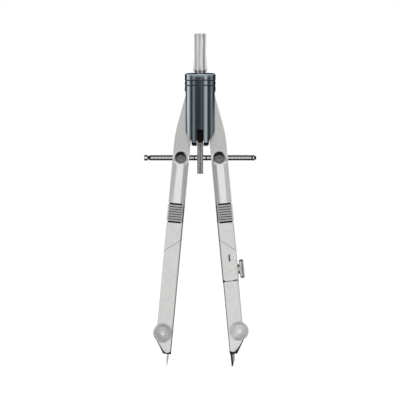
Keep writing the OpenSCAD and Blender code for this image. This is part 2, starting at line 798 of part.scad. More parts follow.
module bar_pin() color([0.60, 0.60, 0.60]) frame() translate([0, 0, eye_h])
    cross_pin(bar_pin_r, bar_pin_y);

module pivot_washers() color([0.75, 0.68, 0.48]) frame() for (s = [-1, 1])
    translate([s * pivot_x, 0, pivot_h]) for (f = [-1, 1]) difference() {
        y0 = f > 0 ? arm_t / 2 + rest_gap : -arm_t / 2 - rest_gap - washer_t;
        bar_y(washer_r, y0, y0 + washer_t);
        bar_y(pivot_r + run, -far, far);
    }

module handle_pin() color([0.62, 0.62, 0.62]) frame()
    translate([0, 0, handle_pin_h]) bar_x(handle_pin_r, -handle_pin_l / 2, handle_pin_l / 2);

module handle() color([0.82, 0.82, 0.82]) frame() difference() {
    union() {
        translate([0, 0, bridge_bottom + rest_gap])
            cylinder(r = stud_r, h = head_top - bridge_bottom);
        rotate_extrude() polygon([
            [0, head_top + rest_gap], [neck_r, head_top + rest_gap], [neck_r, band_0 - edge],
            [band_r, band_0], [band_r, band_1], [handle_r, band_1 + flare_l],
            [handle_r, handle_top - flange_t - edge], [flange_r, handle_top - flange_t],
            [flange_r, handle_top - edge], [flange_r - edge, handle_top], [0, handle_top]]);
    }
    translate([0, 0, handle_pin_h]) bar_x(handle_pin_r, -far, far);
}

// Clamp knobs, with their screws and the nuts behind them

module clamp_knob() {
    dome_r = knob_r - knob_step;
    dome_0 = knob_rim + knob_groove;
    dome_h = knob_h - dome_0;
    rotate([90, 0, 0]) translate([0, 0, foot_face + rest_gap * 2]) difference() {
        rotate_extrude() polygon(concat(
            [[0, 0], [knob_r - knob_edge, 0], [knob_r, knob_edge], [knob_r, knob_rim]],
            [for (i = [0:knob_points - 1]) let (a = i * 90 / knob_points)
                [dome_r * cos(a), dome_0 + dome_h * sin(a)]],
            [[0, knob_h]]));
        for (r = [ring_out_r, ring_in_r])
            translate([0, 0, dome_0 + dome_h * sqrt(1 - pow(r / dome_r, 2))])
                rotate_extrude() translate([r, 0]) rotate(45)
                    square(ring_cut * sqrt(2), center = true);
        translate([0, 0, knob_h - dimple_d])
            cylinder(r1 = 0, r2 = 2 * dimple_r, h = 2 * dimple_d);
    }
    bar_y(clamp_r, -foot_face - 1, foot_face + nut_t - edge);
}

module clamp_nut() difference() {
    rotate([-90, 0, 0]) translate([0, 0, foot_face + rest_gap]) rotate_extrude() polygon([
        [0, 0], [nut_r, 0], [nut_r, nut_t - nut_bevel], [nut_r - nut_bevel, nut_t], [0, nut_t]]);
    bar_y(clamp_r + run, 0, far);
}

module at_needle_clamp() leg_frame()
    translate([-needle_clamp_out, 0, -leg_reach + needle_clamp_up]) children();

module at_lead_clamp() right_side() leg_frame()
    translate([-lead_clamp_out, 0, -leg_reach + lead_clamp_up]) children();

module needle_knob() color([0.70, 0.70, 0.70]) frame() at_needle_clamp() clamp_knob();
module needle_clamp_nut() color([0.62, 0.62, 0.62]) frame() at_needle_clamp() clamp_nut();
module lead_knob() color([0.70, 0.70, 0.70]) frame() at_lead_clamp() clamp_knob();
module lead_clamp_nut() color([0.62, 0.62, 0.62]) frame() at_lead_clamp() clamp_nut();

module needle() color([0.75, 0.75, 0.75]) frame() leg_frame()
    translate([point_in, 0, point_low]) rotate_extrude() polygon([
        [0, 0], [needle_end_r, 0], [shoulder_tip_r, tip_cone], [shoulder_tip_r, needle_tip - edge],
        [needle_r, needle_tip], [needle_r, needle_l - edge], [needle_r - edge, needle_l],
        [0, needle_l]]);

// The lead, cut to a chisel on its outer side
module lead() color([0.13, 0.13, 0.14]) frame() right_side() leg_frame()
    translate([point_in, 0, point_low]) difference() {
        cylinder(r = lead_r, h = lead_l);
        rotate([0, 0, chisel_turn])
            translate([chisel_edge, -far / 2, 0])
                rotate([0, -atan2(lead_r + chisel_edge, chisel_l), 0])
                    translate([-far, 0, -far / 2]) cube([far, far, far]);
    }

head_sleeve();
head_yoke();
handle();
handle_pin();
pivot_pins();
pivot_washers();
guide_bar();
bar_pin();
left_leg();
needle_clamp_nut();
right_leg();
left_trunnion();
left_trunnion_ring();
right_trunnion();
right_trunnion_ring();
slide_block();
spindle();
spindle_button();
spindle_collar();
needle_knob();
needle();
lead_insert();
lead_clamp_nut();
insert_screw();
lead_knob();
lead();
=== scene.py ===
"""Looks of a bow compass: geared head, cross spindle, ribbed legs, clamped needle and lead.

The frame's origin is in the middle of the band at the handle's foot. z is up, x points at the
right leg, and the camera looks along +y. Sizes are in millimetres, and the heights that up()
takes are measured from the compass's two points.
"""
import json
import math

import bpy
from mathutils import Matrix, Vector

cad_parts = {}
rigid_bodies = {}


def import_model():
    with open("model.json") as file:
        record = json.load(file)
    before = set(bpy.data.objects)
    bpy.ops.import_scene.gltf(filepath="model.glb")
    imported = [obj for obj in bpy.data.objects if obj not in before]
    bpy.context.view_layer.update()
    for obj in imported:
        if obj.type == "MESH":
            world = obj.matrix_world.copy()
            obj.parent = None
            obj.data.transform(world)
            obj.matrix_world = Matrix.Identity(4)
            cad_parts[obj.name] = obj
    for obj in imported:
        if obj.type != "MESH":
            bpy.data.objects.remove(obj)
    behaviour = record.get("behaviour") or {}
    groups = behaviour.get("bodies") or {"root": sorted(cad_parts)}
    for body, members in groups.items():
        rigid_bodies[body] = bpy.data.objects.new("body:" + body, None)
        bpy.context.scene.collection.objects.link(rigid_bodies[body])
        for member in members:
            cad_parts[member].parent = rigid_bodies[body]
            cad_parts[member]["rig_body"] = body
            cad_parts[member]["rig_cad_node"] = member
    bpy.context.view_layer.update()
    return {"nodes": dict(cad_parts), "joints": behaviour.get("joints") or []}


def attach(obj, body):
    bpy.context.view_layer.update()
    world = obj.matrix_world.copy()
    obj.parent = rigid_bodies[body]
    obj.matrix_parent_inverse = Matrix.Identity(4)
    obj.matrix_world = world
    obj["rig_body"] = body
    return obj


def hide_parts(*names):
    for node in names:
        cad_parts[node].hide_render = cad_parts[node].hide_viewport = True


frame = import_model()
joints = {joint["name"]: joint for joint in frame["joints"]}
MM = 0.001
TO_FRONT, TO_RIGHT, UPWARD = Vector((0, -1, 0)), Vector((1, 0, 0)), Vector((0, 0, 1))

# Sizes that more than one piece shares
BAND_H = 150.2
SPINDLE_H = 104.3
LEAN = math.radians(5.3)
HEAD_R, SLEEVE_WALL = 7.7, 1.2
HEAD_TOP, HEAD_FOOT, TOP_WALL = 146.5, 110.3, 1.4
PIVOT_X, PIVOT_H = 3.25, 137.1
LEG_W = 8.2
BAND_0, BAND_L, HANDLE_TOP = 147.7, 5.0, 166.3
BAR_W = 2.9

# Places on a leg. LEG_REACH is its length from the spindle to its foot, STEP_DOWN and JOINT_DOWN
# are down its axis from the spindle, and the others with a negative number are up the axis.
# CONE_X is across it, from its axis towards the other leg.
FOOT_UP, JOINT_UP, CONE_UP = 6.5, 36.6, 12
LEG_REACH = (SPINDLE_H - FOOT_UP) / math.cos(LEAN)
JOINT_DOWN, CONE_TOP = LEG_REACH - JOINT_UP, CONE_UP - LEG_REACH
GRIP_TOP, GRIP_FOOT, FACET_TOP, FACET_W = -22.8, -32.72, -2, 3.5
STEP_DOWN, SLANT = 43.8, math.tan(math.radians(38))
CONE_X, CONE_SLOPE, NEEDLE_CONE_R, LEAD_CONE_R = 2.05, 0.6, 2.3, 2.0


def up(height):
    """Height above the points, as a height in the frame."""
    return height - BAND_H


def place_of(name):
    """Where a joint's axis passes, in metres."""
    return Vector(joints[name]["pos_m"])


def way_of(name):
    """Direction of a joint's axis."""
    return Vector(joints[name]["axis"]).normalized()


def end_of(node, way):
    """Middle of the end of a node that lies farthest along a direction, in metres."""
    points = [vertex.co for vertex in frame["nodes"][node].data.vertices]
    far = max(point.dot(way) for point in points)
    end = [point for point in points if point.dot(way) > far - 0.05 * MM]
    return sum(end, Vector()) / len(end)


# Modelling

FULL_TURN = 2 * math.pi
WELD, CAD_WELD = 1e-6, 2e-6
# Width of most eased edges, the angles in degrees from which they are eased, and the steps round
# turned pieces
EASE, EASE_FROM, CUT_EASE_FROM = 0.12, 28, 50
STEPS, SMALL_STEPS, SLEEVE_STEPS = 96, 48, 160


def only(piece):
    """Leave one piece selected and active."""
    bpy.ops.object.select_all(action="DESELECT")
    piece.select_set(True)
    bpy.context.view_layer.objects.active = piece


def editing(piece):
    """Open a piece in edit mode with nothing selected."""
    only(piece)
    bpy.ops.object.mode_set(mode="EDIT")
    bpy.ops.mesh.select_mode(type="VERT")
    bpy.ops.mesh.select_all(action="DESELECT")


def done():
    """Leave edit mode."""
    bpy.ops.object.mode_set(mode="OBJECT")


def weld(distance=WELD):
    """Join the points of the piece in edit mode that lie on each other."""
    bpy.ops.mesh.select_all(action="SELECT")
    bpy.ops.mesh.remove_doubles(threshold=distance)


def face_out():
    """Turn the faces of the piece in edit mode outwards, and leave edit mode."""
    bpy.ops.mesh.select_all(action="SELECT")
    bpy.ops.mesh.normals_make_consistent(inside=False)
    done()


def choose_points(piece, test):
    """Select the points whose place passes a test, and stay in edit mode."""
    editing(piece)
    done()
    for vertex in piece.data.vertices:
        vertex.select = test(vertex.co)
    bpy.ops.object.mode_set(mode="EDIT")


def settle(piece):
    """Put a piece's place into its mesh."""
    only(piece)
    bpy.ops.object.transform_apply(location=True, rotation=True, scale=True)


def worked(piece, kind, **settings):
    """Add a modifier and apply it."""
    modifier = piece.modifiers.new(kind.lower(), kind)
    for name, value in settings.items():
        setattr(modifier, name, value)
    only(piece)
    bpy.ops.object.modifier_apply(modifier=modifier.name)


def smooth(piece, angle=32):
    """Shade a piece smoothly, with sharp edges from an angle in degrees."""
    only(piece)
    bpy.ops.object.shade_smooth_by_angle(angle=math.radians(angle))


def outline(name, points, closed=False):
    """A chain of edges through points given in metres, drawn by extruding one point along."""
    bpy.ops.object.select_all(action="DESELECT")
    bpy.ops.mesh.primitive_plane_add(size=MM)
    piece = bpy.context.active_object
    piece.name = piece.data.name = name
    bpy.ops.object.mode_set(mode="EDIT")
    bpy.ops.mesh.select_all(action="SELECT")
    bpy.ops.mesh.merge(type="CENTER")
    bpy.ops.transform.translate(value=points[0])
    chain = list(points) + (list(points[:1]) if closed else [])
    for here, there in zip(chain, chain[1:]):
        step = Vector(there) - Vector(here)
        bpy.ops.mesh.extrude_region_move(TRANSFORM_OT_translate={"value": step})
    weld()
    return piece


def turned(name, profile, steps=STEPS, closed=False):
    """A turned form about +Z from its outline of (radius, height) points in millimetres."""
    piece = outline(name, [(r * MM, 0, h * MM) for r, h in profile], closed)
    bpy.ops.mesh.select_all(action="SELECT")
    bpy.ops.mesh.spin(steps=steps, angle=FULL_TURN, center=(0, 0, 0), axis=(0, 0, 1))
    weld()
    face_out()
    return piece


def slab(name, points, depth):
    """A plate of an outline in x and z, in millimetres, as deep as given, centred on y = 0."""
    piece = outline(name, [(x * MM, -depth / 2 * MM, z * MM) for x, z in points], True)
    bpy.ops.mesh.select_all(action="SELECT")
    bpy.ops.mesh.edge_face_add()
    bpy.ops.mesh.extrude_region_move(TRANSFORM_OT_translate={"value": (0, depth * MM, 0)})
    face_out()
    return piece


def block(size, place, turn=0.0):
    """A cutting block of a size and a place in millimetres, turned about the y axis."""
    bpy.ops.object.select_all(action="DESELECT")
    bpy.ops.mesh.primitive_cube_add(size=1)
    piece = bpy.context.active_object
    piece.scale = [length * MM for length in size]
    piece.location = [length * MM for length in place]
    piece.rotation_euler = (0, turn, 0)
    settle(piece)
    return piece


def arc(x, z, r, start, end, count):
    """Points on an arc, with angles in degrees."""
    turns = [math.radians(start + (end - start) * i / count) for i in range(count + 1)]
    return [(x + r * math.cos(a), z + r * math.sin(a)) for a in turns]


def cut_away(piece, *tools):
    """Take the tools' room out of a piece, and throw the tools away."""
    for tool in tools:
        worked(piece, "BOOLEAN", operation="DIFFERENCE", solver="EXACT", object=tool)
        bpy.data.objects.remove(tool)


def set_at(piece, where, way):
    """Stand a piece made about +Z on a place, along a direction."""
    piece.rotation_mode = "QUATERNION"
    piece.rotation_quaternion = UPWARD.rotation_difference(way)
    piece.location = where
    settle(piece)


def joined(first, *others):
    """Make one piece of several."""
    only(first)
    for other in others:
        other.select_set(True)
    bpy.ops.object.join()
    return first


def ease_edges(piece, width, angle, **settings):
    """Bevel a piece's edges that are sharper than an angle in degrees, by a width."""
    worked(piece, "BEVEL", width=width * MM, segments=2, limit_method="ANGLE",
           angle_limit=math.radians(angle), use_clamp_overlap=True, **settings)


def eased_copy(node, name, ease):
    """A welded copy of a CAD node with its sharp edges eased by a width."""
    only(frame["nodes"][node])
    bpy.ops.object.duplicate()
    piece = bpy.context.active_object
    piece.name = piece.data.name = name
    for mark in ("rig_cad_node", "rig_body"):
        del piece[mark]
    bpy.ops.object.mode_set(mode="EDIT")
    weld(CAD_WELD)
    bpy.ops.mesh.dissolve_limited(angle_limit=math.radians(0.3))
    bpy.ops.mesh.vert_connect_concave()
    done()
    if ease:
        ease_edges(piece, ease, EASE_FROM, miter_outer="MITER_ARC")
    smooth(piece)
    worked(piece, "WEIGHTED_NORMAL", keep_sharp=True)
    return piece


def finish(piece, body, slot, look, *nodes):
    """Give a piece its material, its body, and the CAD nodes that it stands for."""
    piece.data.materials.clear()
    piece.data.materials.append(look)
    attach(piece, body)
    if nodes:
        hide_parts(*nodes)


def dress(node, look):
    """Give a CAD node that stays its better material."""
    for slot in frame["nodes"][node].material_slots:
        slot.material = look


# Nodes of the materials and of the studio

WHITE = (1, 1, 1, 1)


def grey(level):
    """An opaque grey."""
    return (level, level, level, 1)


def strips(ground, *marks):
    """Stops for strips on an even ground: each begins, is full from and to, ends, has a level."""
    stops = []
    for start, full, fade, end, level in marks:
        stops += [(start, ground), (full, level), (fade, level), (end, ground)]
    return stops


class Reading:
    """What a node gives, which sums like a number."""

    def __init__(self, tree, socket):
        self.tree, self.socket = tree, socket

    def __add__(self, other):
        return self.tree.sum_of("ADD", self, other)

    def __radd__(self, other):
        return self.tree.sum_of("ADD", other, self)

    def __sub__(self, other):
        return self.tree.sum_of("SUBTRACT", self, other)

    def __rsub__(self, other):
        return self.tree.sum_of("SUBTRACT", other, self)

    def __mul__(self, other):
        return self.tree.sum_of("MULTIPLY", self, other)

    def __rmul__(self, other):
        return self.tree.sum_of("MULTIPLY", other, self)

    def __truediv__(self, other):
        return self.tree.sum_of("DIVIDE", self, other)

    def __lt__(self, other):
        return self.tree.sum_of("LESS_THAN", self, other)

    def __pow__(self, other):
        return self.tree.sum_of("POWER", self, other)


def off(x, y):
    """Distance from where both are 0."""
    return (x * x + y * y) ** 0.5


class Tree:
    """The nodes of a material or of the studio's world."""

    def __init__(self, owner):
        owner.use_nodes = True
        self.owner, self.tree = owner, owner.node_tree
        self.tree.nodes.clear()

    def node(self, kind, settings=None, sockets=None, output=0):
        """Any node: its settings are set first, then the values or links of its sockets."""
        made = self.tree.nodes.new(kind)
        for name, value in (settings or {}).items():
            if name == "stops":
                self.set_stops(made.color_ramp, value)
            else:
                setattr(made, name, value)
        for name, value in (sockets or {}).items():
            if isinstance(value, Reading):
                self.tree.links.new(value.socket, made.inputs[name])
            else:
                made.inputs[name].default_value = value
        return Reading(self, made.outputs[output]) if len(made.outputs) else made

    def set_stops(self, ramp, stops):
        """Put (place, level) stops on a new ramp, which starts with two."""
        for place, _ in stops[2:]:
            ramp.elements.new(place)
        for element, (place, level) in zip(ramp.elements, stops):
            element.position = place
            element.color = grey(level)

    def sum_of(self, operation, *terms):
        """Any operation of a Math node."""
        return self.node("ShaderNodeMath", {"operation": operation}, dict(enumerate(terms)))

    def clear_of(self, value, low, high):
        """0 below low, 1 above high, and a smooth rise between them."""
        return self.node("ShaderNodeMapRange", {"interpolation_type": "SMOOTHSTEP"},
                         {"Value": value, "From Min": low, "From Max": high})

    def below(self, value, low, high):
        """1 below low, 0 above high, and a smooth fall between them."""
        return 1 - self.clear_of(value, low, high)

    def within(self, value, low, high, soft):
        """1 between low and high, 0 outside, soft at both ends."""
        rise = self.clear_of(value, low - soft, low + soft)
        return rise * self.below(value, high - soft, high + soft)

    def size_of(self, value):
        """A value without its sign."""
        return self.sum_of("ABSOLUTE", value)

    def blend(self, amount, first, second):
        """One colour going over to another."""
        return self.node("ShaderNodeMix", {"data_type": "RGBA"}, {
            0: amount, 6: first, 7: second}, output=2)

    def levels(self, place, stops, span):
        """Levels by a place from -span / 2 to span / 2, given as a number from 0 to 1."""
        return self.node("ShaderNodeValToRGB", {
            "stops": [(at / span + 0.5, level) for at, level in stops]}, {0: place})

    def bands(self, x, y, stops):
        """Levels by the turn in degrees about the third axis, from the front to the right."""
        turn = self.sum_of("ARCTAN2", x, 0 - y) / FULL_TURN + 0.5
        return self.levels(turn, stops, 360)

    def outputs_of(self, kind):
        """The named outputs of a node that has several."""
        sockets = self.node(kind).socket.node.outputs
        return {socket.name: Reading(self, socket) for socket in sockets}

    def parts(self, vector):
        """The three numbers of a vector."""
        outputs = self.node("ShaderNodeSeparateXYZ", None, {0: vector}).socket.node.outputs
        return [Reading(self, outputs[i]) for i in range(3)]


class Finish(Tree):
    """A metal or graphite finish in the object's own millimetres."""

    def __init__(self, name):
        super().__init__(bpy.data.materials.new(name))

    def around(self, where=(0, 0, 0), turn=(0, 0, 0), stretch=(1, 1, 1)):
        """Object coordinates in millimetres about a place, turned with the piece."""
        coordinates = self.node("ShaderNodeTexCoord", output="Object")
        scale = [MM * s for s in stretch]
        return self.node("ShaderNodeMapping", {"vector_type": "TEXTURE"}, {
            "Vector": coordinates, "Location": where, "Rotation": turn, "Scale": scale})

    def grain(self, where, scale, detail=2.0):
        """Noise from 0 to 1 with so many waves to the millimetre."""
        return self.node("ShaderNodeTexNoise", {"noise_dimensions": "3D"}, {
            "Vector": where, "Scale": scale, "Detail": detail, "Roughness": 0.6})

    def rings(self, radius, scale, detail):
        """Noise that changes with a radius alone."""
        return self.node("ShaderNodeTexNoise", {"noise_dimensions": "1D"}, {
            "W": radius, "Scale": scale, "Detail": detail})

    def relief(self, height, depth):
        """A bump of this depth in millimetres."""
        return self.node("ShaderNodeBump", None, {
            "Strength": 1.0, "Distance": depth * MM, "Height": height})

    def metal(self, colour, roughness, metallic, normal=None, **fixed):
        """The shader itself; what is fixed is set on its own sockets."""
        sockets = {"Base Color": colour, "Roughness": roughness, "Metallic": metallic}
        if normal is not None:
            sockets["Normal"] = normal
        for name, value in fixed.items():
            sockets[name.replace("_", " ")] = value
        shader = self.node("ShaderNodeBsdfPrincipled", None, sockets)
        self.node("ShaderNodeOutputMaterial", None, {"Surface": shader})
        return self.owner


def turned_frame(way):
    """Turn of a frame whose third axis lies along a direction."""
    return tuple(UPWARD.rotation_difference(way).to_euler())


# Materials

def petrol_anodising():
    """Glossy dark petrol on a turned sleeve, fine tool lines round it, painted shade on crown and
    grooves.
    """
    look = Finish("petrol_anodising")
    x, y, z = look.parts(look.around())
    lines = look.grain(look.around(stretch=(30, 30, 0.05)), 0.6, 1.0)
    cloud = look.grain(look.around(), 0.35, 3.0)
    wipe = look.grain(look.around(stretch=(1, 1, 6)), 0.9, 3.0)
    colour = look.blend(cloud, (0.38, 0.46, 0.50, 1), (0.46, 0.53, 0.57, 1))
    # Painted shade: the crown and the grooves are darkened almost to black
    crown = look.clear_of(z, up(HEAD_TOP) - 0.8, up(HEAD_TOP) - 0.4)
    groove_painted_shade = off(x, y) < HEAD_R - 0.1
    colour = look.blend(crown + groove_painted_shade, colour, (0.012, 0.016, 0.02, 1))
    rough = 0.035 + 0.02 * wipe + 0.01 * lines
    return look.metal(colour, rough, 0.985, look.relief(lines, 0.0003),
                      Specular_Tint=grey(0.3))


# Where a leg's painted highlights and painted shade, its lighter foot and its darker grip and arms
# go over to the next: up its axis, across it, in depth, and off the spindle's axis for the nut's
# seat
TO_FOOT, TO_PLAIN, TO_ARM = (-92, -86), (-24, -20), (-2, 5)
ARM_FROM, ARM_TO, ARM_SIDES = 2, 14, (2.8, 4.2)
STEP_LINE, STEP_DEPTH, RIB_DEPTH = (0.08, 0.28), (2.3, 2.4), (2.35, 2.55)
SEAT_IN, SEAT_OUT, OVER_SEAT = 3.3, 4.0, (0, 2)


def leg_painted_lights(look, x, z):
    """How far a leg goes to white: painted highlight on its middle strip and nut's seat, lighter
    foot.
    """
    strip = look.below(look.size_of(x), FACET_W / 2 - 0.2, FACET_W / 2)
    strip = strip * look.within(z, GRIP_TOP, FACET_TOP, 0.3)
    seat = look.within(off(x, z), SEAT_IN, SEAT_OUT, 0.1) * look.below(z, *OVER_SEAT)
    foot = look.below(z, *TO_FOOT)
    return 0.9 * strip + 0.8 * seat + 0.5 * foot


def leg_painted_shades(look, x, z, depth):
    """How far a leg goes to dark grey: painted shade on step line, edges, inner facet, arm edges;
    darker over the ribbed grip and on the arms.
    """
    side = LEG_W / 2
    step = look.below(look.size_of(z - SLANT * x + STEP_DOWN), *STEP_LINE)
    step = step * look.clear_of(depth, *STEP_DEPTH)
    plain = look.below(z, *TO_PLAIN)
    inner_edge = look.clear_of(x, side - 0.85, side - 0.4) * plain
    outer_edge = look.clear_of(0 - x, side - 0.35, side - 0.15) * plain
    inner_facet = look.clear_of(x, FACET_W / 2 - 0.1, FACET_W / 2 + 0.1)
    inner_facet = inner_facet * look.within(z, GRIP_TOP, FACET_TOP, 0.3)
    ribs = look.within(z, GRIP_FOOT + 0.5, GRIP_TOP - 0.5, 0.3)
    arm = look.clear_of(z, *TO_ARM)
    arm_edge = look.clear_of(look.size_of(x), *ARM_SIDES) * look.within(z, ARM_FROM, ARM_TO, 1)
    # Painted shade on the step line, edges and inner facet; the ribs and arms are only darker
    shade = 0.65 * step + 0.7 * inner_edge + 0.15 * outer_edge + 0.3 * inner_facet
    return shade + 0.45 * ribs + 0.26 * arm + 0.1 * arm_edge


def satin_nickel(name, where, turn, inside, cone_r):
    """Satin plate of a leg with painted highlights and shade; painted shade makes it nearly black
    in its grooves and on the cone turned at its foot.

    inside is 1 where the leg's own x points at the other leg, and otherwise -1.
    """
    look = Finish(name)
    x, y, z = look.parts(look.around(where, turn))
    x, depth = x * inside, look.size_of(y)
    brushed = look.grain(look.around(where, turn, (1, 1, 9)), 3.2, 2.0)
    grain = look.grain(look.around(where, turn), 7.0, 2.0)
    cloud = look.grain(look.around(where, turn), 0.5, 3.0)
    colour = look.blend(cloud, (0.76, 0.755, 0.75, 1), (0.93, 0.925, 0.91, 1))
    colour = look.blend(0.3 * look.clear_of(grain, 0.45, 0.75), colour, (0.60, 0.59, 0.58, 1))
    # Painted highlights, then painted shade, with a darker grip and arms
    colour = look.blend(leg_painted_lights(look, x, z), colour, WHITE)
    colour = look.blend(leg_painted_shades(look, x, z, depth), colour, grey(0.13))
    # Painted shade: nearly black in the rib grooves and on the cone turned at the foot
    rib_groove_shade = look.within(z, GRIP_FOOT, GRIP_TOP, 0.04) * look.below(depth, *RIB_DEPTH)
    rib_groove_shade = rib_groove_shade * look.within(x, 0.4 - LEG_W / 2, LEG_W / 2 - 1.2, 0.1)
    from_cone = off(x - CONE_X, y) - CONE_SLOPE * (z + LEG_REACH)
    cone = look.clear_of(from_cone, cone_r - 0.2, cone_r - 0.06)
    cone = cone * look.below(z, CONE_TOP - 1, CONE_TOP)
    colour = look.blend(rib_groove_shade, colour, grey(0.03))
    colour = look.blend(0.96 * cone, colour, grey(0.02))
    rough = 0.30 + 0.10 * brushed + 0.04 * cloud
    return look.metal(colour, rough, 0.88, look.relief(grain + brushed, 0.003),
                      Specular_Tint=grey(0.35))


# Painted reflection on the handle: three dark stripes along it, and those of its neck, by the place
# across them, up to this far to each side
PAINTED_REFLECTION_OUT = 4.0
PAINTED_REFLECTION_STRIPES = strips(0.92, (-2.9, -2.4, -2.3, -1.4, 0.3), (-1.3, -0.4, -0.3, 0.95, 0.42),
                 (1.1, 1.6, 2.1, 2.6, 0.3))
NECK_PAINTED_REFLECTION = [(-3.4, 0.7), (-2.6, 0.1), (-1.8, 0.1), (-1.7, 1.0), (-0.6, 1.0), (-0.5, 0.08),
                (0.25, 0.06), (0.35, 1.0), (1.4, 1.0), (1.5, 0.05), (2.4, 0.04), (2.6, 0.5),
                (3.4, 0.6)]


def polished_handle():
    """Polished steel with a painted reflection: stripes along it, and blacker ones on the neck."""
    look = Finish("polished_handle")
    x, _, z = look.parts(look.around())
    lines = look.grain(look.around(stretch=(25, 25, 0.04)), 0.5, 1.0)
    streak = look.grain(look.around(stretch=(1, 1, 30)), 1.6, 2.0)
    bare = look.blend(streak, (0.78, 0.78, 0.775, 1), (0.92, 0.92, 0.915, 1))
    place = x / (2 * PAINTED_REFLECTION_OUT) + 0.5
    on_neck = look.below(z, up(BAND_0) - 0.25, up(BAND_0) - 0.1)
    # Painted reflection: the stripes are drawn into the base colour
    stripes = look.levels(place, PAINTED_REFLECTION_STRIPES, 2 * PAINTED_REFLECTION_OUT)
    neck = look.levels(place, NECK_PAINTED_REFLECTION, 2 * PAINTED_REFLECTION_OUT)
    colour = look.blend(0.05 + 0.05 * streak, look.blend(on_neck, stripes, neck), bare)
    return look.metal(colour, 0.12 + 0.04 * streak + 0.02 * lines, 0.35 - 0.3 * on_neck)


def blued_steel():
    """Dark steel of the yoke inside the head."""
    look = Finish("blued_steel")
    where = look.around()
    cloud = look.grain(where, 1.3, 3.0)
    fine = look.grain(where, 12.0, 2.0)
    colour = look.blend(cloud, (0.030, 0.030, 0.033, 1), (0.060, 0.060, 0.066, 1))
    return look.metal(colour, 0.28 + 0.12 * fine, 0.8, look.relief(fine, 0.002))


def dished_nut(name, where):
    """Dark turned steel with rings round the dish; painted shade at its top and its centre, and a
    painted highlight on the lower side of its lip.
    """
    look = Finish(name)
    x, y, _ = look.parts(look.around(where, turned_frame(TO_FRONT)))
    radius = off(x, y)
    ring = look.rings(radius, 2.2, 1.0)
    across, _, rise = look.parts(look.around(where))
    cloud = look.grain(look.around(), 1.8, 2.0)
    # Painted shade at the dish's top and centre, painted highlight on its lower lip
    hood_shade = look.clear_of(rise + 0.5 * radius, 0.6, 2.6)
    centre = 0.9 - 0.9 * look.clear_of(radius, 0.35, 0.8)
    lip_highlight = look.clear_of(radius, 2.35, 2.6) * look.below(rise - across, -0.5, 1.5)
    colour = look.blend(look.clear_of(ring, 0.35, 0.65), (0.10, 0.10, 0.105, 1),
                        (0.40, 0.40, 0.41, 1))
    colour = look.blend(hood_shade, colour, (0.012, 0.012, 0.014, 1))
    colour = look.blend(centre, colour, (0.015, 0.015, 0.017, 1))
    colour = look.blend(0.7 * lip_highlight, colour, (0.6, 0.6, 0.61, 1))
    colour = look.blend(0.3 * cloud, colour, (0.05, 0.05, 0.055, 1))
    return look.metal(colour, 0.24 + 0.12 * ring, 0.8, look.relief(ring, 0.006))


def stamped_steel():
    """Dull stamped bar with drag marks and patches of oxide; a painted reflection darkens its
    middle and its edges, and painted shade makes it black inside the head.
    """
    look = Finish("stamped_steel")
    x, _, z = look.parts(look.around())
    drag = look.grain(look.around(stretch=(1, 1, 6)), 4.0, 3.0)
    patch = look.grain(look.around(), 1.3, 4.0)
    speck = look.grain(look.around(), 5.0, 2.0)
    side = look.size_of(x)
    # Painted reflection: darker down the middle and along the edges
    dark = look.below(side, 0.05, 0.4) + look.clear_of(side, BAR_W / 2 - 0.55, BAR_W / 2 - 0.1)
    # Painted shade: black where the bar is inside the head
    in_head_shade = look.clear_of(z, up(111.8), up(112.3))
    colour = look.blend(look.clear_of(patch, 0.38, 0.62), (0.25, 0.253, 0.245, 1),
                        (0.48, 0.483, 0.47, 1))
    colour = look.blend(0.85 * dark, colour, (0.05, 0.05, 0.048, 1))
    colour = look.blend(in_head_shade, colour, (0.008, 0.008, 0.01, 1))
    return look.metal(colour, 0.36 + 0.2 * speck, 0.75, look.relief(drag + speck, 0.006))


def turned_nickel(name, joint, light, dark, metallic, spot=False, banded=False):
    """Nickel plate with fine rings about a joint's axis.

    spot paints a white highlight on a polished dimple in the middle. banded paints a bright
    and a dark band round the rim as highlight and shade, and painted shade above and below.
    """
    look = Finish(name)
    x, y, z = look.parts(look.around(place_of(joint), turned_frame(way_of(joint))))
    radius = off(x, y)
    ring = look.rings(radius, 3.5, 3.0)
    cloud = look.grain(look.around(), 0.8, 3.0)
    colour = look.blend(ring, (*dark, 1), (*light, 1))
    colour = look.blend(0.3 * cloud, colour, (*dark, 1))
    rough = 0.38 + 0.14 * ring + 0.05 * cloud
    if spot:
        # Painted highlight: the dimple goes to white, and is also smoother and more metal
        dimple = look.below(radius, 0.5, 1.1)
        colour, rough = look.blend(dimple, colour, WHITE), rough * (1 - 0.7 * dimple)
        metallic = metallic + (1 - metallic) * dimple
    if banded:
        # Painted highlight and shade in bands round the rim, and painted shade above and below
        ends = look.clear_of(look.size_of(x) / radius, 0.76, 0.95)
        colour = look.blend(0.6 * look.within(z, 0.2, 0.8, 0.1), colour, WHITE)
        colour = look.blend(0.45 * look.within(z, 1.1, 1.7, 0.1), colour, grey(0.1))
        colour = look.blend(ends, colour, grey(0.04))
    return look.metal(colour, rough, metallic, look.relief(ring, 0.002))


def bright_steel(name, tone, rough, metallic=0.85, depth=0.002, streaks=None):
    """Steel, which may carry a painted reflection, dark between streaks along a joint's axis, and
    painted shade inside a radius.
    """
    look = Finish(name)
    where = look.around()
    cloud = look.grain(where, 1.5, 3.0)
    fine = look.grain(where, 14.0, 2.0)
    colour = look.blend(cloud, (tone * 0.88, tone * 0.88, tone * 0.87, 1),
                        (tone, tone, tone * 0.99, 1))
    if streaks:
        joint, darkness, shade_r = streaks
        x, y, _ = look.parts(look.around(place_of(joint), turned_frame(way_of(joint))))
        # Painted reflection in streaks round the axis, and painted shade inside the radius
        dark = look.bands(x, y, darkness) + (off(x, y) < shade_r)
        colour = look.blend(dark, colour, (0.02, 0.02, 0.022, 1))
    return look.metal(colour, rough + 0.08 * fine + 0.05 * cloud, metallic,
                      look.relief(fine, depth))


